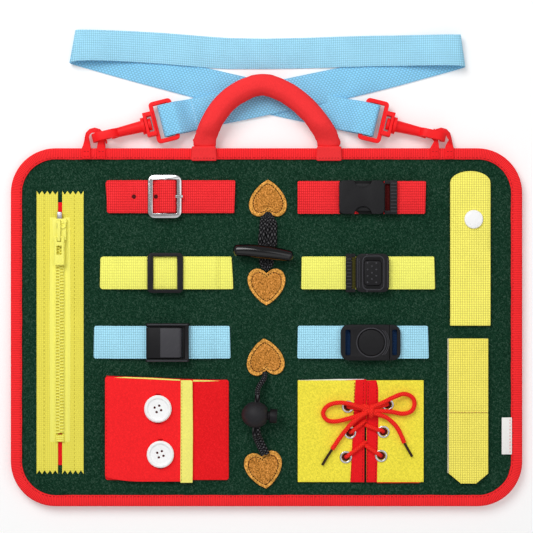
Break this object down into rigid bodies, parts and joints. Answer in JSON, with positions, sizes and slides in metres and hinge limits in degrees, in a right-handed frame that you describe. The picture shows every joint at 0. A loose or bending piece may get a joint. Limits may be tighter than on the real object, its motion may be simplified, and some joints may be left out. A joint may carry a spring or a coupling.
{
  "type": "busy board",
  "caption": "Bound felt practice board with a carry handle, a shoulder strap on snap hooks, and a face of working zips, buckles, laces, buttons, toggles and straps.",
  "frame": {"origin": "centre of the flat back face, on the surface that the board lies on", "axes": "+X along the board, +Y towards the carry handle, +Z out of the working face"},
  "size_m": [0.4, 0.3725, 0.0281],
  "materials": {
    "green_felt": "short-piled felt",
    "grey_core": "plain board",
    "red_tape": "woven red tape",
    "red_plastic": "moulded, satin gloss",
    "blue_webbing": "woven webbing",
    "yellow_webbing": "woven webbing",
    "yellow_felt": "felt and zip tape",
    "tan_felt": "felt",
    "black_plastic": "moulded, satin gloss",
    "black_cord": "round braided cord",
    "silver": "bright plated metal",
    "white_plastic": "moulded",
    "pale_hook": "hook tape"
  },
  "bodies": {
    "board": {"back_felt": "green_felt", "core_board": "grey_core", "front_felt": "green_felt", "edge_binding": "red_tape", "tab_loop_left": "red_tape", "tab_loop_right": "red_tape", "hook_frame_left": "red_plastic", "hook_frame_right": "red_plastic", "shoulder_strap": "blue_webbing", "zip_tape": "yellow_felt", "belt_strap": "red_tape", "belt_buckle_frame": "silver", "glide_strap": "yellow_webbing", "cam_strap": "blue_webbing", "cam_frame": "black_plastic", "clip_strap": "red_tape", "clip_socket": "black_plastic", "press_strap": "yellow_webbing", "press_body": "black_plastic", "round_strap": "blue_webbing", "round_body": "black_plastic", "heart_1": "tan_felt", "heart_2": "tan_felt", "heart_3": "tan_felt", "heart_4": "tan_felt", "toggle_cord": "black_cord", "toggle_loop": "black_cord", "lock_cord": "black_cord", "flap_lower": "red_tape", "button_upper": "white_plastic", "button_lower": "white_plastic", "lace_panel_left": "yellow_felt", "lace_panel_right": "yellow_felt", "lace": "red_tape", "grip_base": "pale_hook"},
    "handle": {"carry_handle": "red_tape"},
    "hook_left": {"snap_hook_left": "red_plastic"},
    "hook_right": {"snap_hook_right": "red_plastic"},
    "gate_left": {"hook_gate_left": "red_plastic"},
    "gate_right": {"hook_gate_right": "red_plastic"},
    "zip_runner": {"zip_slider": "yellow_felt"},
    "zip_left": {"zip_teeth_left": "yellow_felt"},
    "zip_right": {"zip_teeth_right": "yellow_felt"},
    "zip_tab": {"zip_pull": "yellow_felt"},
    "tail": {"belt_tail": "red_tape"},
    "prong": {"belt_buckle_prong": "silver"},
    "glide": {"glide_frame": "black_plastic"},
    "cam": {"cam_lever": "black_plastic"},
    "clip": {"clip_plug": "black_plastic"},
    "press_tongue_body": {"press_tongue": "black_plastic"},
    "press_button_body": {"press_button": "black_plastic"},
    "round_tongue_body": {"round_tongue": "black_plastic"},
    "round_button_body": {"round_button": "black_plastic"},
    "toggle_body": {"toggle": "black_plastic"},
    "lock": {"cord_lock_body": "black_plastic"},
    "plunger": {"cord_lock_plunger": "black_plastic"},
    "flap": {"flap_upper": "red_tape"},
    "snap": {"snap_strap": "yellow_webbing", "snap_cap": "white_plastic"},
    "grip": {"grip_strap": "yellow_webbing"}
  },
  "joints": [
    {"name": "handle_fold", "type": "hinge", "parent": "board", "child": "handle", "pos_m": [0, 0.14015, 0.0124], "axis": [1, 0, 0], "range_deg": [0, 110]},
    {"name": "hook_turn_left", "type": "hinge", "parent": "board", "child": "hook_left", "pos_m": [-0.1362, 0.1473, 0.0079], "axis": [0.9703, 0.2419, 0], "range_deg": [-12, 12], "deforming": ["tab_loop_left"]},
    {"name": "gate_open_left", "type": "hinge", "parent": "hook_left", "child": "gate_left", "pos_m": [-0.12233, 0.15076, 0.0026], "axis": [-0.2419, 0.9703, 0], "range_deg": [0, 25], "stiffness_Nm_per_rad": 0.02, "springref_deg": -5.73},
    {"name": "hook_turn_right", "type": "hinge", "parent": "board", "child": "hook_right", "pos_m": [0.14, 0.148, 0.0079], "axis": [-0.9724, 0.2334, 0], "range_deg": [-12, 12], "deforming": ["tab_loop_right"]},
    {"name": "gate_open_right", "type": "hinge", "parent": "hook_right", "child": "gate_right", "pos_m": [0.1261, 0.15134, 0.0026], "axis": [-0.2334, -0.9724, 0], "range_deg": [0, 25], "stiffness_Nm_per_rad": 0.02, "springref_deg": -5.73},
    {"name": "zip_run", "type": "slide", "parent": "board", "child": "zip_runner", "axis": [0, -1, 0], "range_m": [0, 0.15], "deforming": ["zip_teeth_left", "zip_teeth_right"]},
    {"name": "zip_part_left", "type": "hinge", "parent": "board", "child": "zip_left", "pos_m": [-0.16135, -0.0836, 0.0087], "axis": [0, 0, 1], "range_deg": [0, 2.2]},
    {"name": "zip_part_right", "type": "hinge", "parent": "board", "child": "zip_right", "pos_m": [-0.16135, -0.0836, 0.0087], "axis": [0, 0, -1], "range_deg": [0, 2.2]},
    {"name": "zip_tab_flip", "type": "hinge", "parent": "zip_runner", "child": "zip_tab", "pos_m": [-0.16135, 0.0703, 0.01325], "axis": [-1, 0, 0], "range_deg": [0, 120]},
    {"name": "belt_tail_lift", "type": "hinge", "parent": "board", "child": "tail", "pos_m": [-0.0926, 0.102, 0.0103], "axis": [0, 1, 0], "range_deg": [0, 85]},
    {"name": "prong_lift", "type": "hinge", "parent": "board", "child": "prong", "pos_m": [-0.07925, 0.102, 0.0118], "axis": [0, -1, 0], "range_deg": [0, 30]},
    {"name": "glide_run", "type": "slide", "parent": "board", "child": "glide", "axis": [1, 0, 0], "range_m": [-0.018, 0.018]},
    {"name": "cam_open", "type": "hinge", "parent": "board", "child": "cam", "pos_m": [-0.0686, -0.0117, 0.0137], "axis": [0, 1, 0], "range_deg": [0, 80]},
    {"name": "clip_part", "type": "slide", "parent": "board", "child": "clip", "axis": [1, 0, 0], "range_m": [0, 0.03]},
    {"name": "press_part", "type": "slide", "parent": "board", "child": "press_tongue_body", "axis": [-1, 0, 0], "range_m": [0, 0.022]},
    {"name": "press_push", "type": "slide", "parent": "board", "child": "press_button_body", "axis": [0, 0, -1], "range_m": [0, 0.0012], "stiffness_N_per_m": 300, "springref_m": -0.0005},
    {"name": "round_part", "type": "slide", "parent": "board", "child": "round_tongue_body", "axis": [1, 0, 0], "range_m": [0, 0.022]},
    {"name": "round_push", "type": "slide", "parent": "board", "child": "round_button_body", "axis": [0, 0, -1], "range_m": [0, 0.0012], "stiffness_N_per_m": 300, "springref_m": -0.0005},
    {"name": "toggle_turn", "type": "hinge", "parent": "board", "child": "toggle_body", "pos_m": [-0.0026, 0.05875, 0.0159], "axis": [0, 0, 1], "range_deg": [-15, 15], "deforming": ["toggle_cord", "toggle_loop"]},
    {"name": "lock_run", "type": "slide", "parent": "board", "child": "lock", "axis": [0.0763, 0.9971, 0], "range_m": [-0.004, 0.004], "deforming": ["lock_cord"]},
    {"name": "plunger_push", "type": "slide", "parent": "lock", "child": "plunger", "axis": [-0.9971, 0.0763, 0], "range_m": [0, 0.0033], "stiffness_N_per_m": 300, "springref_m": -0.002},
    {"name": "flap_open", "type": "hinge", "parent": "board", "child": "flap", "pos_m": [-0.1259, -0.0793, 0.0095], "axis": [0, -1, 0], "range_deg": [0, 120], "deforming": ["flap_upper"]},
    {"name": "snap_lift", "type": "hinge", "parent": "board", "child": "snap", "pos_m": [0.1591, 0.0013, 0.0076], "axis": [1, 0, 0], "range_deg": [0, 90]},
    {"name": "grip_lift", "type": "hinge", "parent": "board", "child": "grip", "pos_m": [0.1576, -0.0668, 0.0109], "axis": [-1, 0, 0], "range_deg": [0, 150]}
  ],
  "couplings": [
    {"joint": "zip_part_left", "follows": "zip_run", "rad_per_m": 0.2327},
    {"joint": "zip_part_right", "follows": "zip_run", "rad_per_m": 0.2327}
  ]
}
